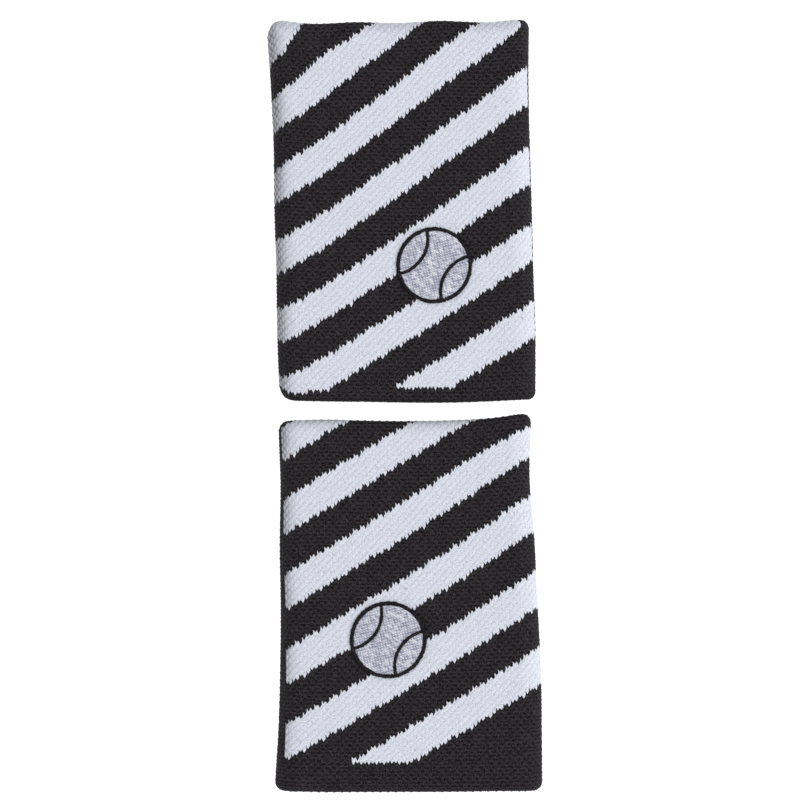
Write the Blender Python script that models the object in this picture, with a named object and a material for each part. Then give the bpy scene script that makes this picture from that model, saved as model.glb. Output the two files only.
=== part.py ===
"""A pair of knitted sweat wristbands for racket sports, lying flat one above the other.

Each band is a knitted sleeve pressed flat. Its two ends turn in over the mouths and are linked,
stitch by stitch, to a terry lining. An elastic yarn winds between the two layers, and a round
ball badge is embroidered through the sleeve onto a backing. The sleeve and the lining divide at
the two side creases into a back and a front, because the front lifts when a hand goes in.

The table is z = 0. Along +Y is from the lower band to the upper one, and +Z is up.
"""

import math

import bmesh
import bpy
from mathutils import Matrix, Vector

MM = 0.001

# The flat band
band_width = 85.4 * MM  # across the pressed tube, crease to crease, halfway along
band_thickness = 14.0 * MM  # from the table to the top face
bands_gap = 5.0 * MM  # between the two bands as they lie

# The layers of one wall, from outside to inside
sleeve_knit = 1.3 * MM
backing_sheet = 0.3 * MM
elastic_diameter = 0.6 * MM
lining_terry = 1.5 * MM
layer_clearance = 0.3 * MM  # between any two layers

# The hems and the seams
turn_in = 11.0 * MM  # how far the sleeve goes in past each mouth
seam_thread = 0.9 * MM  # the linking chain's diameter
seam_clearance = 0.35 * MM  # from the chain to the edges that it links

# The elastic yarn
elastic_turns = 7
elastic_margin = 8.0 * MM  # from each mouth to the yarn's first and last turn

# The embroidered ball
ball_radius = 12.6 * MM
border_width = 1.5 * MM
seam_line_width = 1.3 * MM
seam_arc_radius = 11.6 * MM
seam_arc_offset = 16.2 * MM  # from the ball's middle to the middle of a seam's arc
ball_tilt = math.radians(-32.0)
embroidery_height = 0.7 * MM
stitch_clearance = 0.3 * MM  # between two fields of stitches, and under them
backing_margin = 2.5 * MM

# Facets
crease_steps = 5  # in each quarter turn of a crease
fold_steps = 6  # in each half turn of a hem
path_steps = 6  # in each half turn of a thread that goes round a band
arc_steps = 9  # in each arc of the ball

wall = sleeve_knit + backing_sheet + elastic_diameter + lining_terry + 3 * layer_clearance
elastic_depth = sleeve_knit + backing_sheet + 2 * layer_clearance + elastic_diameter / 2
mid_height = band_thickness / 2


class Band:
    """How one band lies: its length, how far its top leans and how much wider its bottom is."""

    def __init__(self, name, length, lean, flare, shift, badge):
        self.name = name
        self.length = length
        self.lean = lean
        self.flare = flare
        self.shift = shift
        self.badge = badge
        self.middle = Vector((0.0, 0.0, 0.0))

    def lay(self, point):
        """Moves a point of the straight band to where it lies on the table."""
        along = point.y / self.length
        width = band_width - self.flare * along
        x = point.x * width / band_width + self.lean * along
        return Vector((x, point.y, point.z)) + self.middle

    def corners(self):
        """The x of the band's four corners, before the pair is centred."""
        ends = ((side, end) for side in (-0.5, 0.5) for end in (-0.5, 0.5))
        return [
            self.lay(Vector((side * band_width, end * self.length, 0.0))).x
            for side, end in ends
        ]


upper = Band(
    "upper",
    length=126.0 * MM,
    lean=-2.8 * MM,
    flare=-1.0 * MM,
    shift=-0.6 * MM,
    badge=(10.0 * MM, -18.0 * MM),
)
lower = Band(
    "lower",
    length=124.0 * MM,
    lean=-0.9 * MM,
    flare=5.0 * MM,
    shift=0.6 * MM,
    badge=(-6.0 * MM, -11.6 * MM),
)


def place_bands():
    """Sets the bands one above the other, with the middle of the pair at the origin."""
    half = (upper.length + bands_gap + lower.length) / 2
    upper.middle = Vector((upper.shift, half - upper.length / 2, 0.0))
    lower.middle = Vector((lower.shift, lower.length / 2 - half, 0.0))
    corners = upper.corners() + lower.corners()
    centre = (min(corners) + max(corners)) / 2
    for band in (upper, lower):
        band.middle.x -= centre


def clear_scene():
    for item in list(bpy.data.objects):
        bpy.data.objects.remove(item, do_unlink=True)


def new_collection():
    collection = bpy.data.collections.new("sweat_wristbands")
    bpy.context.scene.collection.children.link(collection)
    return collection


def finish(name, colour, roughness):
    """A plain Principled material."""
    material = bpy.data.materials.new(name)
    material.use_nodes = True
    shader = material.node_tree.nodes["Principled BSDF"]
    shader.inputs["Base Color"].default_value = (*colour, 1.0)
    shader.inputs["Roughness"].default_value = roughness
    shader.inputs["Metallic"].default_value = 0.0
    return material


def add_mesh(collection, name, bm, material):
    """Links a bmesh as an object, with its faces pointing out."""
    bmesh.ops.recalc_face_normals(bm, faces=bm.faces)
    mesh = bpy.data.meshes.new(name)
    bm.to_mesh(mesh)
    bm.free()
    mesh.materials.append(material)
    obj = bpy.data.objects.new(name, mesh)
    collection.objects.link(obj)
    return obj


def curve_to_mesh(collection, curve_obj, material):
    """Makes a curve object into a mesh object of the same name, with its caps welded."""
    name = curve_obj.name
    collection.objects.link(curve_obj)
    bpy.context.view_layer.update()
    graph = bpy.context.evaluated_depsgraph_get()
    mesh = bpy.data.meshes.new_from_object(curve_obj.evaluated_get(graph))
    place = curve_obj.matrix_world.copy()
    bpy.data.objects.remove(curve_obj, do_unlink=True)
    bm = bmesh.new()
    bm.from_mesh(mesh)
    bpy.data.meshes.remove(mesh)
    bmesh.ops.remove_doubles(bm, verts=bm.verts, dist=0.00001)
    bm.transform(place)
    return add_mesh(collection, name, bm, material)


def settle(obj, band):
    """Lays a piece that was made on the straight band onto the table."""
    for vertex in obj.data.vertices:
        vertex.co = band.lay(vertex.co)
    obj.data.update()


# The sleeve and the lining


def fold_points(end_y, outwards, depth_from, depth_to):
    """The half turn of a hem: (y, depth) pairs that run from one layer round to the other."""
    centre = (depth_from + depth_to) / 2
    radius = (depth_to - depth_from) / 2
    middle_y = end_y - outwards * radius
    turns = [math.pi * step / fold_steps for step in range(fold_steps + 1)]
    return [
        (middle_y + outwards * radius * math.sin(a), centre - radius * math.cos(a))
        for a in turns
    ]


def sleeve_profile(length):
    """The sleeve cut along its length: a long layer outside and a short one turned in at each end."""
    end = length / 2
    hem = end - turn_in
    inner = end - sleeve_knit
    skin, under = sleeve_knit, wall - sleeve_knit
    outside = [(-hem, wall)]
    outside += reversed(fold_points(-end, -1, 0.0, wall))
    outside += fold_points(end, 1, 0.0, wall)
    outside += [(hem, wall)]
    inside = [(hem, under)]
    inside += reversed(fold_points(inner, 1, skin, under))
    inside += fold_points(-inner, -1, skin, under)
    inside += [(-hem, under)]
    return outside + inside


def lining_profile(length):
    """The lining cut along its length: one layer from seam to seam."""
    end = length / 2 - turn_in - seam_thread - 2 * seam_clearance
    near, far = wall, wall - lining_terry
    return [(-end, near), (end, near), (end, far), (-end, far)]


def half_tube(profile, side):
    """Carries a profile round one half of the pressed tube: crease, face, crease.

    side is 1 for the front and -1 for the back. Each half stops short of the creases'
    middle, so that the two meet there without touching.
    """
    short = layer_clearance / 2
    radius = mid_height - short
    crease = band_width / 2 - radius
    bm = bmesh.new()
    verts = [bm.verts.new((crease + radius - depth, y, 0.0)) for y, depth in profile]
    face = bm.faces.new(verts)
    turn = dict(axis=(0, 1, 0), angle=-side * math.pi / 2, steps=crease_steps)
    made = bmesh.ops.spin(
        bm, geom=[*verts, *face.edges, face], cent=(crease, 0, 0), **turn
    )["geom_last"]
    last = [item for item in made if isinstance(item, bmesh.types.BMFace)]
    made = bmesh.ops.extrude_face_region(bm, geom=last)["geom"]
    bmesh.ops.delete(bm, geom=last, context="FACES_ONLY")
    moved = [item for item in made if isinstance(item, bmesh.types.BMVert)]
    bmesh.ops.translate(bm, verts=moved, vec=(-2 * crease, 0, 0))
    bmesh.ops.spin(bm, geom=made, cent=(-crease, 0, 0), **turn)
    bmesh.ops.translate(bm, verts=bm.verts, vec=(0, 0, mid_height + side * short))
    return bm


def make_layers(collection, band, knit, terry):
    """The sleeve's and the lining's back and front."""
    for piece, profile, material in (
        ("sleeve", sleeve_profile(band.length), knit),
        ("lining", lining_profile(band.length), terry),
    ):
        for half, side in (("back", -1), ("front", 1)):
            name = f"{band.name}_{piece}_{half}"
            obj = add_mesh(collection, name, half_tube(profile, side), material)
            settle(obj, band)


# The threads that go round a band


def round_the_band(depth, share):
    """A point at the given depth in the wall, for a share from 0 to 1 of one turn.

    The turn starts at the middle of the back and goes round the +X crease first.
    """
    radius = mid_height - depth
    crease = band_width / 2 - mid_height
    flat = 2 * crease
    half_turn = math.pi * radius
    travelled = share * 2 * (flat + half_turn)
    if travelled < crease:
        return travelled, -radius
    travelled -= crease
    if travelled < half_turn:
        angle = travelled / radius
        return crease + radius * math.sin(angle), -radius * math.cos(angle)
    travelled -= half_turn
    if travelled < flat:
        return crease - travelled, radius
    travelled -= flat
    if travelled < half_turn:
        angle = travelled / radius
        return -crease - radius * math.sin(angle), radius * math.cos(angle)
    return travelled - half_turn - crease, -radius


def turn_shares(depth):
    """Where along one turn a thread needs points: the ends and the arcs of both creases."""
    radius = mid_height - depth
    crease = band_width / 2 - mid_height
    half_turn = math.pi * radius
    whole = 2 * (2 * crease + half_turn)
    first = [crease + half_turn * step / path_steps for step in range(path_steps + 1)]
    second = [place + 2 * crease + half_turn for place in first]
    return [place / whole for place in first + second]


def thread(name, points, diameter, closed):
    """A round thread through the given points, as a curve object."""
    curve = bpy.data.curves.new(name, "CURVE")
    curve.dimensions = "3D"
    curve.bevel_depth = diameter / 2
    curve.bevel_resolution = 1
    curve.use_fill_caps = True
    spline = curve.splines.new("POLY")
    spline.points.add(len(points) - 1)
    for spot, place in zip(spline.points, points, strict=True):
        spot.co = (*place, 1.0)
    spline.use_cyclic_u = closed
    return bpy.data.objects.new(name, curve)


def make_seam(collection, band, end_name, end, material):
    """The linking chain between a turned-in edge and the lining, all the way round."""
    depth = wall - lining_terry / 2
    y = end * (band.length / 2 - turn_in - seam_clearance - seam_thread / 2)
    points = []
    for share in turn_shares(depth):
        x, z = round_the_band(depth, share)
        points.append((x, y, mid_height + z))
    chain = thread(f"{band.name}_{end_name}_seam", points, seam_thread, closed=True)
    settle(curve_to_mesh(collection, chain, material), band)


def make_elastic(collection, band, material):
    """The elastic yarn: one helix between the two layers, from mouth to mouth."""
    reach = band.length - 2 * elastic_margin
    points = []
    for turn in range(elastic_turns):
        for share in turn_shares(elastic_depth):
            x, z = round_the_band(elastic_depth, share)
            y = reach * ((turn + share) / elastic_turns - 0.5)
            points.append((x, y, mid_height + z))
    yarn = thread(f"{band.name}_elastic_yarn", points, elastic_diameter, closed=False)
    settle(curve_to_mesh(collection, yarn, material), band)


# The embroidered ball


def crossing(radius, offset, other_radius):
    """Where a circle at the middle meets one of another radius centred at (offset, 0)."""
    x = (radius**2 - other_radius**2 + offset**2) / (2 * offset)
    return Vector((x, math.sqrt(radius**2 - x**2)))


def arc(centre_x, radius, start, end):
    """Points of an arc about (centre_x, 0), from one angle to the other, without the last."""
    turns = [start + (end - start) * step / arc_steps for step in range(arc_steps)]
    return [Vector((centre_x + radius * math.cos(a), radius * math.sin(a))) for a in turns]


def side_field(sign, inset):
    """The stitched field between a seam line and the ball's border, left (-1) or right (1)."""
    ball = ball_radius - border_width - inset
    seam = seam_arc_radius - seam_line_width / 2 - inset
    meet = crossing(ball, seam_arc_offset, seam)
    on_ball = math.atan2(meet.y, meet.x)
    on_seam = math.atan2(meet.y, meet.x - seam_arc_offset)
    points = arc(0.0, ball, -on_ball, on_ball)
    points += arc(seam_arc_offset, seam, on_seam, 2 * math.pi - on_seam)
    return [Vector((sign * point.x, point.y)) for point in points]


def middle_field(inset):
    """The stitched field between the two seam lines."""
    ball = ball_radius - border_width - inset
    seam = seam_arc_radius + seam_line_width / 2 + inset
    meet = crossing(ball, seam_arc_offset, seam)
    on_ball = math.atan2(meet.y, meet.x)
    on_seam = math.atan2(meet.y, meet.x - seam_arc_offset)
    top = arc(0.0, ball, on_ball, math.pi - on_ball)
    left = arc(-seam_arc_offset, seam, math.pi - on_seam, on_seam - math.pi)
    half = top + left
    return half + [-point for point in half]


def disc(radius):
    steps = 4 * arc_steps
    turns = [2 * math.pi * step / steps for step in range(steps)]
    return [Vector((radius * math.cos(a), radius * math.sin(a))) for a in turns]


def flat_piece(collection, band, name, outlines, low, high, material):
    """A flat piece with the given outlines, tilted and set at the band's badge."""
    curve = bpy.data.curves.new(name, "CURVE")
    curve.dimensions = "2D"
    curve.fill_mode = "BOTH"
    curve.extrude = (high - low) / 2
    for outline in outlines:
        spline = curve.splines.new("POLY")
        spline.points.add(len(outline) - 1)
        for spot, point in zip(spline.points, outline, strict=True):
            spot.co = (point.x, point.y, 0.0, 1.0)
        spline.use_cyclic_u = True
    flat = bpy.data.objects.new(name, curve)
    centre = band.lay(Vector((*band.badge, (low + high) / 2)))
    flat.matrix_world = Matrix.Translation(centre) @ Matrix.Rotation(ball_tilt, 4, "Z")
    curve_to_mesh(collection, flat, material)


def make_badge(collection, band, satin, border, backing):
    """The ball: a border with its two seam lines, three satin fields, and the backing under it."""
    low = band_thickness + stitch_clearance
    high = low + embroidery_height
    holes = [side_field(-1, 0.0), middle_field(0.0), side_field(1, 0.0)]
    name = f"{band.name}_badge"
    lines = [disc(ball_radius), *holes]
    flat_piece(collection, band, f"{name}_border", lines, low, high, border)
    for place, field in (
        ("left", side_field(-1, stitch_clearance)),
        ("middle", middle_field(stitch_clearance)),
        ("right", side_field(1, stitch_clearance)),
    ):
        flat_piece(collection, band, f"{name}_{place}_fill", [field], low, high, satin)
    top = band_thickness - sleeve_knit - layer_clearance
    sheet = [disc(ball_radius + backing_margin)]
    bottom = top - backing_sheet
    flat_piece(collection, band, f"{name}_backing", sheet, bottom, top, backing)


def main():
    clear_scene()
    collection = new_collection()
    place_bands()
    knit = finish("striped_knit", (0.035, 0.033, 0.036), 0.9)
    terry = finish("terry", (0.05, 0.048, 0.052), 0.95)
    chain = finish("linking_thread", (0.03, 0.029, 0.031), 0.8)
    rubber = finish("covered_elastic", (0.62, 0.62, 0.64), 0.7)
    satin = finish("silver_satin_thread", (0.60, 0.58, 0.66), 0.4)
    border = finish("black_satin_thread", (0.02, 0.02, 0.02), 0.45)
    fleece = finish("backing_fleece", (0.75, 0.75, 0.73), 0.9)
    for band in (upper, lower):
        make_layers(collection, band, knit, terry)
        make_seam(collection, band, "top", 1, chain)
        make_seam(collection, band, "bottom", -1, chain)
        make_elastic(collection, band, rubber)
        make_badge(collection, band, satin, border, fleece)


main()
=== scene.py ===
"""The looks of a pair of knitted sweat wristbands that lie flat, one above the other.

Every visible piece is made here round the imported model: the jacquard sleeves stitch by stitch,
the terry linings, the linking seams, the elastic yarns and the embroidered ball badges.
"""

import math

import bpy
import numpy as np
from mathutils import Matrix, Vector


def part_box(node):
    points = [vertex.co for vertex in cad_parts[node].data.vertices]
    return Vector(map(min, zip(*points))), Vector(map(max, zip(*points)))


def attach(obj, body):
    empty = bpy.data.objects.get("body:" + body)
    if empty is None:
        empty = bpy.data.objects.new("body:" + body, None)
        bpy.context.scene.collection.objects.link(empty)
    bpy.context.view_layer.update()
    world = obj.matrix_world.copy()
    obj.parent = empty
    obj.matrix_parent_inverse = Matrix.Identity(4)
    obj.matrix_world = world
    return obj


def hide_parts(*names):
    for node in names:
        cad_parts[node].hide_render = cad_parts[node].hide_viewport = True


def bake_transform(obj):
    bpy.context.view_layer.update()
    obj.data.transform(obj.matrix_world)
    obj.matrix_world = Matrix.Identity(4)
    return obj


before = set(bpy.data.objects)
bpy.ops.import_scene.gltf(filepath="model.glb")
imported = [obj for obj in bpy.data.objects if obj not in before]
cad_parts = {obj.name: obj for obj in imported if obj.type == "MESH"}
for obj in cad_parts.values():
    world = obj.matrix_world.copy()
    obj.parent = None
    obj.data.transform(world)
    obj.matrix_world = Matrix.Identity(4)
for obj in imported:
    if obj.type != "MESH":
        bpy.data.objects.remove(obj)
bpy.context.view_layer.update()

MM = 0.001
TAU = 2 * math.pi

# The band's build, as the solids have it
WALL = 4.6 * MM  # one wall, sleeve and lining together
SLEEVE = 1.3 * MM
LINING = 1.5 * MM
TURN_IN = 11.0 * MM  # how far the sleeve goes in past a mouth
SEAM_THREAD = 0.9 * MM
SEAM_CLEARANCE = 0.35 * MM
ELASTIC_DEPTH = 2.5 * MM
ELASTIC_DIAMETER = 0.6 * MM
ELASTIC_MARGIN = 8.0 * MM
ELASTIC_TURNS = 7
ELASTIC_START = 0.21  # of a turn, from the middle of the back to where the yarn starts

# The knit
FACE_WALES = 76  # on the front, from crease to crease, and as many on the back
COURSE = 1.25 * MM
VEE = 0.56  # how far a stitch's arms stand above its tip, in courses
OVERLAP = 0.34  # how much further down a raised stitch reaches, in courses
WHITE_SHARE = 0.476  # of the stripes
LEG_RISE = 0.13 * MM
TUCK_RISE = 0.10 * MM
UNEVEN_YARN = 0.012 * MM
# The reach of the open-and-shade mask: it draws the stitches open, and it paints the white yarn darker
# as painted shade, at the left crease, faintly over the front and along both mouths.
OPEN_SHADE_CREASE = 6.5 * MM  # how far the left crease opens the stitches
OPEN_SHADE_FACE = 30.0 * MM  # how far it does so a very little
OPEN_SHADE_MOUTH = 4.2 * MM
TUG_REACH = 14.0 * MM  # how far from a top corner the stripes are pulled askew
TUG_PIVOT = 6.3 * MM  # how far from the crease a twist leaves them in place
TUG_LEAST = -1.5 * MM
FLARE_HEIGHT = 7.0 * MM  # how far down from the top mouth the start column is wider

# The lie of a band
CORNER = 6.0 * MM  # how much of a mouth's edge turns back at each crease
ROUNDNESS = 0.96  # of the turned-back edge; 1 would be a quarter of an ellipse
WAVE_RISE = 0.13 * MM  # of the front's slow waves
BADGE_DIP = 0.30 * MM  # how far the stitching pulls the front down round the badge
BADGE_DIP_WIDTH = 1.6 * MM

# The terry lining
PILE = 0.7 * MM
PILE_ROOT = 0.3 * MM

# The embroidered ball
BALL_BORDER = 1.35 * MM
BALL_SEAM_WIDTH = 1.15 * MM
BALL_SEAM_RADIUS = 11.6 * MM
BALL_SEAM_OFFSET = 16.2 * MM
BALL_TILT = math.radians(-32.0)
STITCH_HEIGHT = 0.65 * MM
STITCH_FOOT = 0.25 * MM  # how deep a fill goes into the knit
CORD_FOOT = 0.20 * MM
FILL_PITCH = 0.62 * MM
CORD_PITCH = 0.42 * MM
UNDER_BORDER = 0.35 * MM  # how far the fills' threads go on under the border
UNDER_LINE = 0.30 * MM
LAST_THREAD = 0.20 * MM  # how far a fill's outermost threads lie under the border
FILL_BITE = 1.25 * MM  # from one needle hole to the next along a fill's thread
NEEDLE_HOLE = 0.27 * MM

# The stage
CAMERA_HEIGHT = 1.5
SEEN_WIDTH = 0.264


def through(stops, share):
    """A smooth curve through evenly spaced values, read at shares from 0 to 1."""
    stops = np.asarray(stops, float)
    last = len(stops) - 1
    place = np.clip(share, 0.0, 1.0) * last
    left = np.minimum(place.astype(int), last - 1)
    t = place - left
    padded = np.concatenate(([stops[0]], stops, [stops[-1]]))
    before, here, there, after = (padded[left + k] for k in range(4))
    out = here + 0.5 * t * (there - before)
    out += t * t * (before - 2.5 * here + 2 * there - 0.5 * after)
    return out + 0.5 * t**3 * (after - before + 3 * (here - there))


def badge_dip(away):
    """How far the front is pulled down at a distance from the badge's edge."""
    return BADGE_DIP * np.exp(-((away / BADGE_DIP_WIDTH) ** 2))


class Band:
    """One band as it lies: its box, its outline, its stripes and its badge.

    edges: where each side of the outline starts and ends, and its small waves, in mm
    corners: how far each mouth's edge turns back at the left and right crease, in mm
    waves: where the front's slow waves start, across and along
    stripes: the terms of the polynomial that counts stripes over the front
    ends: the first count on the front, and the count at which its stripes stop
    tug: the side (-1 left, 1 right), slip and twist per mm of the stripes at one top corner
    hem: the plain hem's height at its left part and at its right part, in mm
    column: the first and last wale of the plain column where the knitting starts
    flare: how many wales wider that column is at the top mouth
    roll: how many wales the knit leans over the crease, at the bottom and at the top
    """

    def __init__(self, name, edges, corners, waves, stripes, ends, tug, hem, column, flare, roll, seed):
        self.name = name
        low_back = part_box(f"{name}_sleeve_back")[0]
        low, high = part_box(f"{name}_sleeve_front")
        self.length = high.y - low.y
        self.thickness = high.z - low_back.z
        self.mid = self.thickness / 2
        self.edges = edges
        self.corners = corners
        self.waves = waves
        self.stripes = stripes
        self.first_stripe, self.last_stripe = ends
        self.tug = tug
        self.hem = hem
        self.column = column
        self.flare = flare
        self.roll = roll
        self.random = np.random.default_rng(seed)
        lines = edges["left"][0], edges["right"][0]
        self.width = (sum(lines[1]) - sum(lines[0])) / 2 * MM
        badge_low, badge_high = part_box(f"{name}_badge_border")
        self.badge = (badge_low + badge_high) / 2
        self.badge_radius = (badge_high.x - badge_low.x) / 2
        self.quarter = self.mid * math.pi / 2
        self.flat = self.width - self.thickness
        self.half = 2 * self.quarter + self.flat
        self.fold = WALL / 2

    def edge(self, side, share):
        """Where an edge of the outline lies, from one end of it to the other, in metres."""
        (start, end), waves = self.edges[side]
        return (start + (end - start) * share + through(waves, share)) * MM

    def lay(self, x, y, z):
        """Moves points of a straight band to where the band lies, waves and all."""
        across = x / self.width + 0.5
        along = y / self.length + 0.5
        left, right = self.edge("left", along), self.edge("right", along)
        near = np.clip((np.abs(x) - self.width / 2 + CORNER) / CORNER, 0, 1)
        turned = (1 - np.sqrt(1 - ROUNDNESS * near**2)) * MM
        (low_left, low_right), (high_left, high_right) = self.corners
        bottom = self.edge("bottom", across) + turned * np.where(x < 0, low_left, low_right)
        top = self.edge("top", across) - turned * np.where(x < 0, high_left, high_right)
        px = left + (right - left) * across
        py = bottom + (top - bottom) * along
        front = np.clip((z - self.mid) / self.mid, 0.0, 1.0)
        pz = z + front * self.swell(px, py)
        return np.stack([px, py, pz], axis=-1)

    def swell(self, x, y):
        """How far the soft front stands above its level: slow waves, and a dip round the badge."""
        a, b = x * 61 + self.waves[0], y * 47 + self.waves[1]
        waves = np.sin(a + 1.3 * np.sin(b * 0.7)) * np.sin(b + 0.8 * np.sin(a * 0.9))
        away = np.hypot(x - self.badge.x, y - self.badge.y) - self.badge_radius
        return waves * WAVE_RISE - badge_dip(away)

    def around(self, arc, depth):
        """x and z of a point on the pressed tube, by its way round from the left crease."""
        on_back = arc >= self.half
        way = np.where(on_back, arc - self.half, arc)
        radius = self.mid - depth
        crease = self.flat / 2
        first = np.clip(way / self.mid, 0, math.pi / 2)
        last = np.clip((way - self.quarter - self.flat) / self.mid, 0, math.pi / 2)
        x = np.clip(way - self.quarter, 0, self.flat) - crease
        x = x - radius * np.cos(first) + radius * np.sin(last)
        z = radius * np.sin(first) * np.cos(last)
        return np.where(on_back, -x, x), self.mid + np.where(on_back, -z, z)

    def profile(self, run):
        """y, depth and outward normal along the sleeve, from seam to seam over both hems."""
        strip, turn = TURN_IN - self.fold, math.pi * self.fold
        face = self.length - 2 * self.fold
        end = self.length / 2 - self.fold
        low = np.clip((run - strip) / self.fold, 0, math.pi)
        high = np.clip((run - strip - turn - face) / self.fold, 0, math.pi)
        flat = np.clip(run - strip - turn, 0, face)
        inner = np.clip(strip - run, 0, None)
        outer = np.clip(run - strip - 2 * turn - face, 0, None)
        y = -end + flat + inner - outer
        y = y - self.fold * np.sin(low) + self.fold * np.sin(high)
        depth = self.fold * (1 + np.cos(low)) + self.fold * (1 - np.cos(high))
        normal_y = -np.sin(low) + np.sin(high)
        normal_depth = np.where(high > 0, -np.cos(high), np.cos(low))
        return y, depth, normal_y, normal_depth

    def sleeve_run(self):
        """The sleeve's whole length from seam to seam, over both hems."""
        return 2 * (TURN_IN - self.fold) + 2 * math.pi * self.fold + self.length - 2 * self.fold


upper = Band(
    "upper",
    edges={
        "left": ((-41.65, -44.95), (0.25, 0.1, 0.4, 0.3, 0.6, 0.3, -0.45)),
        "right": ((43.5, 41.2), (-0.2, 0.2, -0.1, -0.25, -0.5, -0.6, -0.1)),
        "bottom": ((1.5, 1.5), (0.4, 0.05, -0.1, -0.35, -0.35, 0.1, 0.8)),
        "top": ((127.5, 127.5), (0.4, -1.2, -0.7, -0.95, -0.25, -0.75, 0.45)),
    },
    corners=((4.0, 0.2), (4.6, 0.7)),
    waves=(28.8, 33.6),
    stripes=dict(
        start=0.739, across=2.346, along=-5.07, skew=0.41, stretch=0.226, bow=-0.16, curl=-0.34
    ),
    ends=(-3, 4),
    tug=(-1, 0.0, 0.059),
    hem=(3.2, 4.8),
    column=(FACE_WALES - 1, FACE_WALES + 1),
    flare=3,
    roll=(0.3, -1.2),
    seed=11,
)
lower = Band(
    "lower",
    edges={
        "left": ((-42.9, -41.3), (0.1, 1.0, 1.3, 1.2, 0.6, 0.6, -0.3)),
        "right": ((45.2, 41.8), (0.4, 0.8, 1.0, 0.45, 0.05, -1.0, 0.0)),
        "bottom": ((-127.5, -127.5), (0.3, 0.0, 0.0, 0.05, 0.1, 0.3, 0.3)),
        "top": ((-3.5, -3.5), (-1.5, -1.0, -1.3, -1.5, -1.3, -0.55, 1.1)),
    },
    corners=((0.75, 0.7), (1.4, 1.0)),
    waves=(89.1, 69.3),
    stripes=dict(
        start=0.419, across=2.07, along=-4.915, skew=-0.01, stretch=-0.065, bow=-0.04, curl=-0.19
    ),
    ends=(-9, 3),
    tug=(1, -0.085, 0.0),
    hem=(9.9, 9.9),
    column=(-4, 2),
    flare=0,
    roll=(2.4, -0.7),
    seed=23,
)


# Materials


class Wire:
    """A socket that arithmetic can be written with."""

    def __init__(self, dye, socket):
        self.dye = dye
        self.socket = socket

    def math(self, operation, first, second):
        return self.dye.node("ShaderNodeMath", {"operation": operation}, {0: first, 1: second})

    def __add__(self, other):
        return self.math("ADD", self, other)

    def __mul__(self, other):
        return self.math("MULTIPLY", self, other)

    def __sub__(self, other):
        return self.math("SUBTRACT", self, other)

    def __rsub__(self, other):
        return self.math("SUBTRACT", other, self)

    def sine(self, ahead=0.0):
        return self.math("SINE", self + ahead, 0.0)

    __radd__ = __add__
    __rmul__ = __mul__


class Nodes:
    """A node tree, and short ways to add to it."""

    def __init__(self, tree):
        self.tree = tree

    def put(self, socket, value):
        if isinstance(value, Wire):
            self.tree.links.new(value.socket, socket)
        else:
            socket.default_value = value

    def node(self, kind, settings, sockets, out=0):
        """Any node: its type, its settings, then the values or links of its sockets."""
        made = self.tree.nodes.new(kind)
        for name, value in settings.items():
            setattr(made, name, value)
        for name, value in sockets.items():
            self.put(made.inputs[name], value)
        return Wire(self, made.outputs[out])

    def attribute(self, name, out="Fac"):
        return self.node("ShaderNodeAttribute", {"attribute_name": name}, {}, out)

    def mix(self, factor, first, second):
        """Mixes two colours."""
        settings = {"data_type": "RGBA"}
        return self.node("ShaderNodeMix", settings, {0: factor, 6: first, 7: second}, out=2)

    def shade(self, colour, factor):
        """Scales a colour by a number."""
        settings = {"operation": "SCALE"}
        return self.node("ShaderNodeVectorMath", settings, {0: colour, "Scale": factor})

    def noise(self, place, scale, detail=2.0):
        sockets = {"Vector": place, "Scale": scale, "Detail": detail}
        return self.node("ShaderNodeTexNoise", {"noise_dimensions": "3D"}, sockets)

    def place(self, across, along):
        return self.node("ShaderNodeCombineXYZ", {}, {0: across, 1: along})

    def bump(self, height, strength, distance):
        sockets = {"Strength": strength, "Distance": distance, "Height": height}
        return self.node("ShaderNodeBump", {}, sockets)


class Dye(Nodes):
    """A Principled material and the nodes that feed it."""

    def __init__(self, name, roughness, sheen=0.0):
        self.material = bpy.data.materials.new(name)
        self.material.use_nodes = True
        super().__init__(self.material.node_tree)
        self.shader = self.tree.nodes["Principled BSDF"]
        self.shader.inputs["Roughness"].default_value = roughness
        self.shader.inputs["Sheen Weight"].default_value = sheen
        self.shader.inputs["Sheen Roughness"].default_value = 0.5
        self.shader.inputs["Specular IOR Level"].default_value = 0.25

    def feed(self, name, value):
        self.put(self.shader.inputs[name], value)


def rgb(red, green, blue):
    return (red, green, blue, 1.0)


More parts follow.
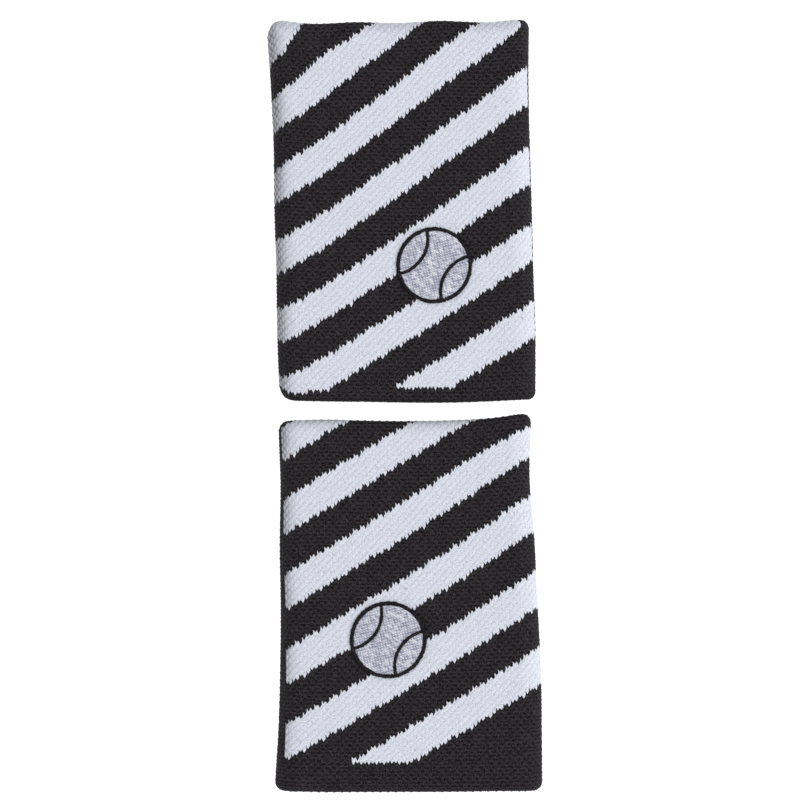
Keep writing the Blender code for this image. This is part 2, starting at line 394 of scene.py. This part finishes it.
def knit_dye():
    """Black and white yarn in one jacquard.

    The black yarn lies in short level dashes, offset from row to row like bricks. The white
    yarn's longer legs lean to the right. The white yarn is painted lighter on its crests and darker
    in its grooves: painted highlight and painted shade. At the left crease, faintly over the front
    and along both mouths it is painted darker still, towards dark grey: painted shade.
    """
    dye = Dye("striped_knit", roughness=0.9, sheen=0.04)
    dye.shader.inputs["Specular IOR Level"].default_value = 0.12
    white, rise = dye.attribute("white_yarn"), dye.attribute("rise")
    wale, up = dye.attribute("wale"), dye.attribute("up")
    knot, tone = dye.attribute("knot"), dye.attribute("tone")
    open_and_shade = dye.attribute("open_and_shade")
    place = dye.place(wale, up)
    fibre = dye.noise(place, 2.6, 3.0)
    warmth = dye.noise(place, 0.35, 1.0)
    rows = (up * TAU).sine(math.pi / 2)
    bricks = (wale * math.pi).sine() * (up * math.pi).sine()
    dash = 0.35 + rows * 0.15 + bricks * 0.23 + knot * 0.07 + (fibre - 0.5) * 3.0
    cool_black = dye.mix(dash, rgb(0.0018, 0.0018, 0.0026), rgb(0.047, 0.045, 0.052))
    warm_black = dye.mix(dash, rgb(0.0030, 0.0018, 0.0018), rgb(0.053, 0.045, 0.049))
    black_yarn = dye.mix(warmth, cool_black, warm_black)
    slant = (wale - up) * math.pi
    legs = slant.sine() * 0.09 + (slant * 2).sine(math.pi / 2) * 0.08
    # Painted highlight and painted shade: the white yarn is lighter where the stitches rise and darker
    # in the grooves between them, with slanted leg marks and fibre tone.
    shine = 0.26 + rise * 0.62 + legs + (fibre - 0.5) * 3.4
    white_yarn = dye.mix(shine, rgb(0.515, 0.53, 0.59), rgb(0.785, 0.81, 0.885))
    white_yarn = dye.shade(white_yarn, 0.965 + tone * 0.03)
    # Painted shade: the white yarn is blended towards dark grey at the left crease, faintly over the
    # front and along both mouths, most in its grooves.
    painted_crease_shade = open_and_shade * (0.25 + 1.4 * (1 - rise) - legs)
    white_yarn = dye.mix(painted_crease_shade, white_yarn, rgb(0.17, 0.17, 0.185))
    dye.feed("Base Color", dye.mix(white, black_yarn, white_yarn))
    dye.feed("Roughness", 0.78 + fibre * 0.2)
    dye.feed("Normal", dye.bump(fibre, 0.3, 0.12 * MM))
    return dye.material


def terry_dye():
    """Looped black terry, painted lighter on the tops of the loops and darker low in the pile: painted
    highlight and painted shade.
    """
    dye = Dye("terry", roughness=0.95, sheen=0.15)
    rise = dye.attribute("rise")
    place = dye.place(dye.attribute("wale"), dye.attribute("course"))
    fibre = dye.noise(place, 5.0, 3.0)
    # Painted shade low in the pile, painted highlight on the loops' tops.
    colour = dye.mix(rise, rgb(0.010, 0.010, 0.011), rgb(0.050, 0.048, 0.052))
    dye.feed("Base Color", dye.shade(colour, 0.7 + fibre * 0.6))
    dye.feed("Roughness", 0.8 + fibre * 0.2)
    dye.feed("Normal", dye.bump(fibre, 0.6, 0.3 * MM))
    return dye.material


def thread_dye(name, dark, light, roughness, glint=None):
    """A thread painted lighter on its crests and darker in its grooves and needle holes, as painted
    highlight and painted shade; some of its stitches get a painted highlight in a glint colour.
    """
    dye = Dye(name, roughness)
    dye.shader.inputs["Specular IOR Level"].default_value = 0.08
    rise = dye.attribute("rise")
    tone = dye.attribute("tone")
    place = dye.place(dye.attribute("wale"), dye.attribute("course"))
    ply = dye.noise(place, 3.5, 2.0)
    # Painted highlight on the threads' crests and painted shade in their grooves and needle holes.
    colour = dye.mix(rise * 0.9 + ply - 0.40, rgb(*dark), rgb(*light))
    if glint:
        # Painted highlight: some stitches shine in the glint colour.
        patch = dye.noise(place, 0.2, 1.0)
        lit = tone * 0.55 + ply * 2.4 + patch * 0.6 - 1.675
        colour = dye.mix(lit, colour, rgb(*glint))
    dye.feed("Base Color", dye.shade(colour, 0.80 + tone * 0.30))
    dye.feed("Roughness", roughness - 0.08 + ply * 0.16)
    dye.feed("Normal", dye.bump(ply, 0.3, 0.08 * MM))
    return dye.material


def fleece_dye():
    """The pressed fibres of the backing sheet, which has no attributes of its own."""
    dye = Dye("backing_fleece", roughness=0.9)
    spot = dye.node("ShaderNodeTexCoord", {}, {}, "Object")
    fibre = dye.noise(spot, 2600.0, 3.0)
    colour = dye.mix(fibre, rgb(0.58, 0.58, 0.56), rgb(0.82, 0.82, 0.80))
    dye.feed("Base Color", colour)
    dye.feed("Normal", dye.bump(fibre, 0.5, 0.2 * MM))
    return dye.material


# Meshes


def grid_faces(rows, columns, wrap, start=0, flip=False):
    """The quads of a grid of points, closed round its columns if wrap is set."""
    r = np.arange(rows - 1)[:, None]
    c = np.arange(columns if wrap else columns - 1)[None, :]
    d = (c + 1) % columns
    here, above = r * columns, (r + 1) * columns
    quads = np.stack([here + c, here + d, above + d, above + c], -1).reshape(-1, 4) + start
    return quads[:, ::-1] if flip else quads


def rim_faces(first, second, wrap):
    """The quads between two rows of points."""
    after_first, after_second = np.roll(first, -1), np.roll(second, -1)
    quads = np.stack([first, second, after_second, after_first], -1)
    return quads if wrap else quads[:-1]


def closed_sheet(name, outer, inner, wrap, material, attributes):
    """A sheet with two sides: two grids of points with rims between them.

    outer and inner are (rows, columns, 3). Round a band the columns close on themselves, and
    the two sides may have different rows. attributes are for the outer side, on its points
    (rows, columns), its faces or its faces' corners, and the inner side gets zeros.
    """
    rows, columns = outer.shape[:2]
    inner_rows = inner.shape[0]
    points = np.concatenate([outer.reshape(-1, 3), inner.reshape(-1, 3)])
    start = rows * columns
    top = grid_faces(rows, columns, wrap)
    parts = [top, grid_faces(inner_rows, columns, wrap, start, flip=True)]
    low, high = np.arange(columns), np.arange(columns) + (rows - 1) * columns
    inner_low = start + np.arange(columns)
    inner_high = inner_low + (inner_rows - 1) * columns
    parts.append(rim_faces(low, inner_low, wrap))
    parts.append(rim_faces(inner_high, high, wrap))
    if not wrap:
        left = np.arange(rows) * columns
        parts.append(rim_faces(start + left, left, False))
        right = left + columns - 1
        parts.append(rim_faces(right, start + right, False))
    faces = np.concatenate(parts)
    mesh = bpy.data.meshes.new(name)
    mesh.vertices.add(len(points))
    mesh.vertices.foreach_set("co", points.astype(np.float32).ravel())
    mesh.loops.add(faces.size)
    mesh.loops.foreach_set("vertex_index", faces.astype(np.int32).ravel())
    mesh.polygons.add(len(faces))
    mesh.polygons.foreach_set("loop_start", np.arange(len(faces), dtype=np.int32) * 4)
    mesh.update(calc_edges=True)
    for key, (domain, values) in attributes.items():
        size = {"POINT": len(points), "FACE": len(faces), "CORNER": faces.size}[domain]
        full = np.zeros(size, np.float32)
        full[: values.size] = values.ravel()
        mesh.attributes.new(key, "FLOAT", domain).data.foreach_set("value", full)
    mesh.shade_smooth()
    mesh.validate()
    mesh.materials.append(material)
    obj = bpy.data.objects.new(name, mesh)
    bpy.context.scene.collection.objects.link(obj)
    return obj


def turn_corners(turn, whole, rows):
    """A value that grows round a band, on the corners of its faces, so that it never jumps back."""
    after = np.append(turn[1:], turn[0] + whole)
    corners = np.stack([turn, after, after, turn], -1)
    return np.broadcast_to(corners, (rows - 1, len(turn), 4))


def join_bands(obj):
    """Bakes a piece that goes round a band into place in the world."""
    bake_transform(obj)


# The knitted sleeve


def wale_columns():
    """Where the knit's columns of points are: (wale, place in it). The hidden back has fewer."""
    crease = 9
    columns = []
    for wale in range(2 * FACE_WALES):
        seen = wale < FACE_WALES + crease or wale >= 2 * FACE_WALES - crease
        places = (-0.5, -0.25, 0.0, 0.25) if seen else (-0.5, 0.0)
        columns += [(wale, place) for place in places]
    wales, places = np.array(columns).T
    return wales.astype(int), places


def stitch_arc(band, wale, level):
    """How far round the band a place in the knit is. The knit leans a little over the crease."""
    at_bottom, at_top = band.roll
    share = level * COURSE / band.sleeve_run()
    turned = wale + at_bottom + (at_top - at_bottom) * share
    return (turned % (2 * FACE_WALES)) * band.half / FACE_WALES


def stripe_count(band, across, along):
    """How many stripes a place is along the chart. Each stripe starts with its white part."""
    near = np.clip(across, -0.5, 0.5)
    s = band.stripes
    count = s["start"] + s["across"] * across + s["along"] * along
    count = count + s["skew"] * near * along + s["stretch"] * along**2
    count = count + s["bow"] * near**2 + s["curl"] * near**3
    side, slip, twist = band.tug
    from_side = (0.5 - side * across) * band.width
    from_top = (0.5 - along) * band.length
    tugged = np.exp(-(from_side**2 + from_top**2) / TUG_REACH**2)
    count = count + (slip + twist * np.maximum(from_side - TUG_PIVOT, TUG_LEAST) / MM) * tugged
    return np.where(np.abs(across) < 0.5, np.maximum(count, band.first_stripe), count)


def is_white(band, wale, course):
    """Which stitches are knitted in white, as the band's jacquard chart has it."""
    arc = stitch_arc(band, wale + 0.5, course)
    across = band.around(arc, 0.0)[0] / band.width
    across = np.where(arc >= band.half, 1 - across, across)
    first, last = band.column
    if first > 0:
        across = np.where(wale > last, across - 2, across)
    hem_turn = TURN_IN - band.fold + math.pi * band.fold
    up = course * COURSE - hem_turn + band.fold
    along = up / band.length - 0.5
    count = stripe_count(band, across, along)
    white = (count % 1.0) < WHITE_SHARE
    white &= (count < band.last_stripe) | (across > 0.5)
    hem_left, hem_right = band.hem
    hem = hem_left + (hem_right - hem_left) * np.clip(across * 3 + 1.2, 0, 1)
    white &= up > hem * MM
    first = first - band.flare * ((0.5 - along) * band.length < FLARE_HEIGHT)
    return white & ((wale - first) % (2 * FACE_WALES) > last - first)


def opening_and_shade(band, arc, run_at, run):
    """How far the stitches are drawn open and the white yarn is painted darker with painted shade, from
    0 to 1: at the left crease, faintly over the front and at both mouths.
    """
    crease = np.minimum(arc, 2 * band.half - arc)
    open_and_shade = np.exp(-((crease / OPEN_SHADE_CREASE) ** 4)) + 0.05 * np.exp(-crease / OPEN_SHADE_FACE)
    rim = TURN_IN - band.fold + math.pi / 2 * band.fold
    mouth = np.minimum(np.abs(run_at - rim), np.abs(run - rim - run_at))
    return np.maximum(open_and_shade, 0.40 * np.exp(-((mouth / OPEN_SHADE_MOUTH) ** 3)))


def make_sleeve(band, material):
    """The jacquard sleeve: one V of two legs for each stitch, in relief."""
    wales, places = wale_columns()
    run = band.sleeve_run()
    courses = int(round(run / COURSE))
    rows = 2 * courses + 1
    level = np.arange(rows)[:, None] / 2.0
    course = np.arange(rows) // 2
    middle = (np.arange(rows) % 2)[:, None]
    off = np.abs(places)[None, :]
    inside = 1 - 2 * off
    shared = places[None, :] < -0.4  # points between two wales
    fade = np.clip(np.minimum(level, courses - level), 0, 1)
    wobble = band.random.normal(0, 0.06, (rows, len(wales)))
    wobble += band.random.normal(0, 0.10, (courses + 1, 2 * FACE_WALES))[course][:, wales]
    raised = ((course[:, None] + wales[None, :]) % 2 == 0).astype(float)
    raised = np.where(shared, 0.5, raised)
    shift = VEE * (off - 0.25) * 2 - OVERLAP * raised * inside * (1 - 0.5 * middle) + wobble
    run_at = (level + fade * shift) * run / courses
    cross = np.interp(places, [-0.5, -0.25, 0.0, 0.25], [-1.0, 0.3, -0.3, 1.0])[None, :]
    crest = 2.0 * middle - 1
    place = (wales + 0.5 + places)[None, :]
    arc = stitch_arc(band, place, level)
    # How far the stitches are drawn open, and how much painted shade darkens the white yarn there.
    open_and_shade = opening_and_shade(band, arc, run_at, run)
    height = LEG_RISE * (0.45 * (1 + open_and_shade) * cross + 0.55 * crest)
    height = height + TUCK_RISE * (2 * raised - 1) * np.sqrt(np.clip(inside, 0, 1))
    height = height + band.random.normal(0, UNEVEN_YARN, height.shape)
    y, depth, normal_y, normal_depth = band.profile(run_at)
    x, z = band.around(arc, depth + height * normal_depth)
    outer = band.lay(x, y + height * normal_y, z)

    coarse = np.linspace(0, run, 40)[:, None]
    y, depth, normal_y, normal_depth = band.profile(coarse)
    inner_arc = stitch_arc(band, place, coarse / run * courses)
    x, z = band.around(inner_arc, depth - SLEEVE * normal_depth)
    inner = band.lay(x, np.broadcast_to(y - SLEEVE * normal_y, x.shape), z)

    stitch_wale = np.broadcast_to(wales[None, :], (rows - 1, len(wales)))
    stitch_course = np.broadcast_to(course[:-1, None], stitch_wale.shape)
    white = is_white(band, stitch_wale, stitch_course + 0.5)
    tones = band.random.random((courses, 2 * FACE_WALES))
    knot = band.random.normal(0, 0.15, (courses + 1, 2 * FACE_WALES))[course][:, wales]
    knot = np.where(shared, (knot + np.roll(knot, 1, axis=1)) / 2, knot)
    # How high each part of a stitch stands. The knit's colour turns this into painted highlight on the
    # crests and painted shade in the grooves.
    lifted = 0.60 + 0.15 * cross * (1 + open_and_shade) + 0.10 * crest + 0.10 * (2 * raised - 1)
    lifted = lifted + 0.35 * knot
    attributes = {
        "wale": ("CORNER", turn_corners(place[0], 2 * FACE_WALES, rows)),
        "rise": ("POINT", np.clip(lifted, 0, 1)),
        "up": ("POINT", run_at * courses / run),
        "knot": ("POINT", knot / 0.15),
        "open_and_shade": ("POINT", open_and_shade),
        "white_yarn": ("FACE", white.astype(float)),
        "tone": ("FACE", tones[stitch_course, stitch_wale]),
    }
    name = f"{band.name}_sleeve"
    sleeve = closed_sheet(name, outer, inner, True, material, attributes)
    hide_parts(f"{name}_back", f"{name}_front")
    join_bands(sleeve)


def make_lining(band, material):
    """The terry lining: a sleeve of short loops that face the wrist."""
    columns, rows, inner_rows = 300, 200, 12
    end = band.length / 2 - TURN_IN - SEAM_THREAD - 2 * SEAM_CLEARANCE
    level = np.linspace(end, -end, rows)[:, None]  # from the top, so that the loops face inwards
    turn = np.arange(columns)[None, :] / columns
    arc = np.broadcast_to(turn * 2 * band.half, (rows, columns))
    stagger = (np.arange(rows) % 4 // 2)[:, None] * 0.5
    loops = 0.5 + 0.5 * np.cos(TAU * (turn * columns / 2 + stagger))
    loops = loops * (0.5 + 0.5 * np.cos(TAU * np.arange(rows) / 2)[:, None])
    pile = loops * 0.45 + band.random.random((rows, columns)) * 0.35
    y = np.broadcast_to(level, (rows, columns))
    x, z = band.around(arc, WALL - PILE_ROOT + pile * PILE)
    outer = band.lay(x, y, z)
    coarse = np.linspace(end, -end, inner_rows)[:, None]
    x, z = band.around(arc[:inner_rows], WALL - LINING)
    inner = band.lay(x, np.broadcast_to(coarse, x.shape), z)
    # rise, the pile's height, gives the terry its painted shade and painted highlight.
    attributes = {
        "wale": ("CORNER", turn_corners(turn[0] * 2 * FACE_WALES, 2 * FACE_WALES, rows)),
        "course": ("POINT", np.broadcast_to(level / COURSE, (rows, columns))),
        "rise": ("POINT", np.clip(pile / 0.8, 0, 1)),
    }
    name = f"{band.name}_lining"
    lining = closed_sheet(name, outer, inner, True, material, attributes)
    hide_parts(f"{name}_back", f"{name}_front")
    join_bands(lining)


# Threads that go round a band


def tube_points(band, arc, depth, y, radius, sides=8):
    """Rings of points round a line that runs round a band, laid where the band lies."""
    x, z = band.around(arc % (2 * band.half), depth)
    line = np.stack([x, y, z], -1)
    ahead = np.roll(line, -1, axis=0) - np.roll(line, 1, axis=0)
    ahead[0], ahead[-1] = line[1] - line[0], line[-1] - line[-2]
    ahead /= np.linalg.norm(ahead, axis=1, keepdims=True)
    length = np.array([0.0, 1.0, 0.0])
    across = length - ahead * (ahead @ length)[:, None]
    across /= np.linalg.norm(across, axis=1, keepdims=True)
    out = np.cross(ahead, across)
    angles = np.arange(sides) * TAU / sides
    ring = across[:, None] * np.cos(angles)[None, :, None]
    ring = ring + out[:, None] * np.sin(angles)[None, :, None]
    points = line[:, None] + ring * np.broadcast_to(radius, (len(line), 1))[:, None]
    return band.lay(points[..., 0], points[..., 1], points[..., 2])


def tube(name, rings, material, closed, attributes):
    """A tube through rings of points, closed on itself or capped."""
    count, sides = rings.shape[:2]
    faces = grid_faces(count, sides, True).tolist()
    last = (count - 1) * sides
    if closed:
        faces += rim_faces(last + np.arange(sides), np.arange(sides), True)[:, ::-1].tolist()
    else:
        faces += [list(range(sides))[::-1], list(range(last, last + sides))]
    mesh = bpy.data.meshes.new(name)
    mesh.from_pydata(rings.reshape(-1, 3).tolist(), [], faces)
    for key, values in attributes.items():
        data = np.broadcast_to(values, (count, sides)).astype(np.float32)
        mesh.attributes.new(key, "FLOAT", "POINT").data.foreach_set("value", data.ravel())
    mesh.shade_smooth()
    mesh.materials.append(material)
    obj = bpy.data.objects.new(name, mesh)
    bpy.context.scene.collection.objects.link(obj)
    return obj


def make_seam(band, end_name, end, material):
    """The linking chain: one plump loop for each wale."""
    links = 2 * FACE_WALES
    steps = links * 4
    share = np.arange(steps) / steps
    y = np.full(steps, end * (band.length / 2 - TURN_IN - SEAM_CLEARANCE - SEAM_THREAD / 2))
    loop = np.abs(np.sin(share * links * math.pi))[:, None]
    radius = SEAM_THREAD / 2 * (0.62 + 0.38 * loop)
    depth = np.full(steps, WALL - LINING / 2)
    rings = tube_points(band, share * 2 * band.half, depth, y, radius)
    # rise: painted highlight where each loop is plumpest.
    attributes = {
        "wale": (share * links)[:, None],
        "course": np.arange(8)[None, :] / 8.0,
        "rise": loop,
        "tone": 0.5 * np.ones((1, 1)),
    }
    name = f"{band.name}_{end_name}_seam"
    seam = tube(name, rings, material, True, attributes)
    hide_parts(name)
    join_bands(seam)


def make_elastic(band, material):
    """The covered elastic yarn, wound from mouth to mouth between the layers.

    It starts beside the right crease of the back and goes round the front to the left.
    """
    steps = ELASTIC_TURNS * 96
    start = ELASTIC_START / ELASTIC_TURNS
    share = np.linspace(start, 1 - start, steps + 1)
    reach = band.length - 2 * ELASTIC_MARGIN
    twist = np.abs(np.sin(np.arange(steps + 1) * 0.9))[:, None]
    radius = ELASTIC_DIAMETER / 2 * (0.85 + 0.15 * twist)
    arc = (0.75 - share * ELASTIC_TURNS) * 2 * band.half
    depth = np.full(steps + 1, ELASTIC_DEPTH)
    rings = tube_points(band, arc, depth, (share - 0.5) * reach, radius, sides=6)
    # rise: painted highlight where the yarn's twist swells.
    attributes = {
        "wale": np.arange(steps + 1.0)[:, None],
        "course": np.arange(6)[None, :] / 6.0,
        "rise": twist,
        "tone": 0.5 * np.ones((1, 1)),
    }
    name = f"{band.name}_elastic_yarn"
    yarn = tube(name, rings, material, False, attributes)
    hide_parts(name)
    join_bands(yarn)


# The embroidered ball


def on_badge(band, x, y, height):
    """Turns points of the upright ball to its tilt and sets them on the band's front."""
    c, s = math.cos(BALL_TILT), math.sin(BALL_TILT)
    px = band.badge.x + c * x - s * y
    py = band.badge.y + s * x + c * y
    away = np.hypot(x, y) - band.badge_radius
    settle = band.thickness + band.swell(px, py) + badge_dip(away)
    return np.stack([px, py, settle + height], -1)


def seam_edge(y, gap):
    """How far a ball seam's edge is from the ball's upright middle line."""
    radius = BALL_SEAM_RADIUS + gap
    return BALL_SEAM_OFFSET - np.sqrt(np.clip(radius**2 - y**2, 0, None))


def field_spans(band, field, y):
    """Where a stitched field starts and ends along x at each y, and which y it has."""
    inside = band.badge_radius - BALL_BORDER + UNDER_BORDER
    rim = np.sqrt(np.clip(inside**2 - y**2, 0, None))
    line = BALL_SEAM_WIDTH / 2 - UNDER_LINE
    if field == "middle":
        reach = BALL_SEAM_RADIUS + line
        edge = np.where(np.abs(y) < reach, np.minimum(seam_edge(y, line), rim), rim)
        return -edge, edge
    edge = seam_edge(y, -line)
    start, end = edge, np.maximum(rim, edge)
    return (start, end) if field == "right" else (-end, -start)


def make_fill(band, field, material):
    """A field of satin stitches side by side, each a low ridge that dives in at both ends."""
    inside = band.badge_radius - BALL_BORDER + LAST_THREAD
    if field == "middle":
        tall = inside
    else:
        cut = BALL_SEAM_RADIUS - BALL_SEAM_WIDTH / 2
        x = (inside**2 - cut**2 + BALL_SEAM_OFFSET**2) / (2 * BALL_SEAM_OFFSET)
        tall = math.sqrt(inside**2 - x**2)
    threads = int(2 * tall / FILL_PITCH)
    rows = 2 * threads + 1
    columns = 121 if field == "middle" else 61
    y = np.linspace(-tall, tall, rows)[:, None]
    start, end = field_spans(band, field, y)
    ragged = band.random.normal(0, 0.10 * MM, (threads + 1, 2))[np.arange(rows) // 2]
    start, end = start + ragged[:, :1], end + ragged[:, 1:]
    share = np.linspace(0, 1, columns)[None, :]
    x = start + (end - start) * share
    crest = (np.arange(rows) % 2)[:, None]
    arch = 1 - (2 * share - 1) ** 6
    lane = (np.arange(rows) // 2 % 2)[:, None] * FILL_BITE / 2
    near = np.abs(((x + lane) / FILL_BITE) % 1.0 - 0.5) * FILL_BITE
    dimple = np.exp(-((near / NEEDLE_HOLE) ** 2))
    height = STITCH_HEIGHT * (0.42 * arch + 0.36 * crest * arch + 0.2 - 0.20 * dimple)
    outer = on_badge(band, x, np.broadcast_to(y, x.shape), height)
    inner = on_badge(band, x, np.broadcast_to(y, x.shape), -STITCH_FOOT)
    thread_of = np.broadcast_to((np.arange(rows - 1) // 2)[:, None], (rows - 1, columns - 1))
    part = np.floor((x + lane) / FILL_BITE).astype(int)[:-1, :-1]
    tones = band.random.random((threads + 1, 40))
    # rise: painted highlight along the threads' crests, painted shade in the needle holes.
    attributes = {
        "wale": ("POINT", np.broadcast_to(y / FILL_PITCH, x.shape)),
        "course": ("POINT", x / (1.1 * FILL_PITCH)),
        "rise": ("POINT", np.clip(0.25 + 0.85 * crest * arch - 1.1 * dimple, 0, 1)),
        "tone": ("FACE", tones[thread_of, part % 40]),
    }
    name = f"{band.name}_badge_{field}_fill"
    fill = closed_sheet(name, outer, inner, False, material, attributes)
    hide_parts(name)
    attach(fill, f"{band.name}_front")


def satin_cord(band, name, line, normal, width, closed, material):
    """A raised satin line: short stitches side by side across the line."""
    count = len(line)
    sides = 9
    across = np.linspace(-1, 1, sides)[None, :]
    crest = (np.arange(count) % 2)[:, None]
    drift = np.cumsum(band.random.normal(0, 1.0, count))
    drift = drift - np.linspace(0, drift[-1], count)
    ragged = 1 + band.random.normal(0, 0.13, (count, 1)) + 0.06 * crest
    slant = 0.22 * MM * across
    bent = 0.020 * MM * np.clip(drift, -5, 5)[:, None]
    line = line + normal * bent
    along = np.stack([-normal[:, 1], normal[:, 0]], -1)
    x = line[:, :1] + normal[:, :1] * across * ragged * width / 2 + along[:, :1] * slant
    y = line[:, 1:] + normal[:, 1:] * across * ragged * width / 2 + along[:, 1:] * slant
    bow = np.sqrt(np.clip(1 - across**2, 0, 1))
    height = STITCH_HEIGHT * (0.12 + 0.80 * bow + 0.28 * crest * bow)
    outer = on_badge(band, x, y, height)
    inner = on_badge(band, x, y, -CORD_FOOT)
    tones = band.random.random(count)[np.arange(count if closed else count - 1) // 2]

    def laid(grid):
        """A ring's stitches go along the columns of a sheet, which close on themselves."""
        return grid.swapaxes(0, 1)[::-1] if closed else grid

    # rise: painted highlight on each stitch's crest.
    attributes = {
        "wale": ("POINT", laid(np.broadcast_to(np.arange(count)[:, None] / 2.0, height.shape))),
        "course": ("POINT", laid(np.broadcast_to(across, height.shape))),
        "rise": ("POINT", laid(np.clip(0.2 + 0.8 * crest * np.ones_like(height), 0, 1))),
        "tone": ("FACE", laid(np.broadcast_to(tones[:, None], (len(tones), sides - 1)))),
    }
    return closed_sheet(name, laid(outer), laid(inner), closed, material, attributes)


def make_border(band, material):
    """The ball's black border and its two seam lines, in satin stitch."""
    radius = band.badge_radius - BALL_BORDER / 2
    count = 2 * int(TAU * radius / CORD_PITCH)
    angles = np.arange(count) * TAU / count
    normal = np.stack([np.cos(angles), np.sin(angles)], -1)
    name = f"{band.name}_badge_border"
    ring = satin_cord(band, name, normal * radius, normal, BALL_BORDER, True, material)
    apart = BALL_SEAM_OFFSET**2 + BALL_SEAM_RADIUS**2 - radius**2
    reach = math.acos(apart / (2 * BALL_SEAM_OFFSET * BALL_SEAM_RADIUS))
    steps = 2 * int(2 * reach * BALL_SEAM_RADIUS / CORD_PITCH)
    angles = np.linspace(math.pi - reach, math.pi + reach, steps)
    normal = np.stack([np.cos(angles), np.sin(angles)], -1)
    lines = [ring]
    for side, sign in (("left", -1), ("right", 1)):
        line = normal * BALL_SEAM_RADIUS + np.array([BALL_SEAM_OFFSET, 0.0])
        turned, turned_normal = line * sign, normal * sign
        piece = f"{band.name}_badge_{side}_line"
        lines.append(satin_cord(band, piece, turned, turned_normal, BALL_SEAM_WIDTH, False, material))
    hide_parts(name)
    for line in lines:
        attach(line, f"{band.name}_front")


# The stage


def make_floor():
    """A pale floor that glows a little, just below the lowest stitch."""
    bpy.ops.mesh.primitive_plane_add(size=3.0, location=(0, 0, -0.4 * MM))
    floor = bpy.context.active_object
    floor.name = "floor"
    dye = Dye("floor", roughness=0.9)
    dye.feed("Base Color", rgb(0.50, 0.50, 0.505))
    dye.shader.inputs["Emission Color"].default_value = rgb(1, 1, 1)
    dye.shader.inputs["Emission Strength"].default_value = 0.88
    floor.data.materials.append(dye.material)


def make_light(name, spot, size, power):
    """A round soft light that points at the middle of the floor."""
    data = bpy.data.lights.new(name, "AREA")
    data.shape = "DISK"
    data.size = size
    data.energy = power
    light = bpy.data.objects.new(name, data)
    bpy.context.scene.collection.objects.link(light)
    light.location = spot
    light.rotation_mode = "QUATERNION"
    light.rotation_quaternion = light.location.to_track_quat("Z", "Y")


def make_room():
    """A pale room, brighter from above and from the right."""
    world = bpy.data.worlds.new("pale_room")
    world.use_nodes = True
    room = Nodes(world.node_tree)
    ray = room.node("ShaderNodeTexCoord", {}, {}, "Generated")
    toward = {"operation": "DOT_PRODUCT"}
    gain = room.node("ShaderNodeVectorMath", toward, {0: ray, 1: (0.17, 0.0, 0.30)}, "Value")
    background = world.node_tree.nodes["Background"]
    background.inputs["Color"].default_value = rgb(0.98, 0.985, 1.0)
    room.put(background.inputs["Strength"], gain + 0.69)
    bpy.context.scene.world = world


def make_stage():
    """A pale floor, a big soft key light on the right, a pale room and the camera overhead."""
    make_floor()
    make_room()
    make_light("key", (1.27, 0.10, 1.46), 1.2, 9.0)
    bpy.context.scene.view_settings.view_transform = "Standard"
    data = bpy.data.cameras.new("camera")
    data.sensor_width = 36.0
    data.lens = data.sensor_width * (CAMERA_HEIGHT - 13 * MM) / SEEN_WIDTH
    data.clip_end = 10.0
    camera = bpy.data.objects.new("camera", data)
    bpy.context.scene.collection.objects.link(camera)
    camera.location = (-1.5 * MM, 2.0 * MM, CAMERA_HEIGHT)
    bpy.context.scene.camera = camera


def main():
    knit, terry, fleece = knit_dye(), terry_dye(), fleece_dye()
    chain = thread_dye("linking_thread", (0.01, 0.01, 0.01), (0.04, 0.038, 0.04), 0.8)
    rubber = thread_dye("covered_elastic", (0.45, 0.45, 0.46), (0.7, 0.7, 0.72), 0.7)
    silver = (0.17, 0.18, 0.28), (0.74, 0.75, 0.85), 0.42, (1.0, 0.99, 0.97)
    satin = thread_dye("silver_satin_thread", *silver)
    jet = (0.001, 0.001, 0.002), (0.012, 0.011, 0.017), 0.6, (0.050, 0.044, 0.034)
    border = thread_dye("black_satin_thread", *jet)
    for band in (upper, lower):
        make_sleeve(band, knit)
        make_lining(band, terry)
        make_seam(band, "top", 1, chain)
        make_seam(band, "bottom", -1, chain)
        make_elastic(band, rubber)
        for field in ("left", "middle", "right"):
            make_fill(band, field, satin)
        make_border(band, border)
        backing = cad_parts[f"{band.name}_badge_backing"]
        backing.data.materials.clear()
        backing.data.materials.append(fleece)
    make_stage()


main()
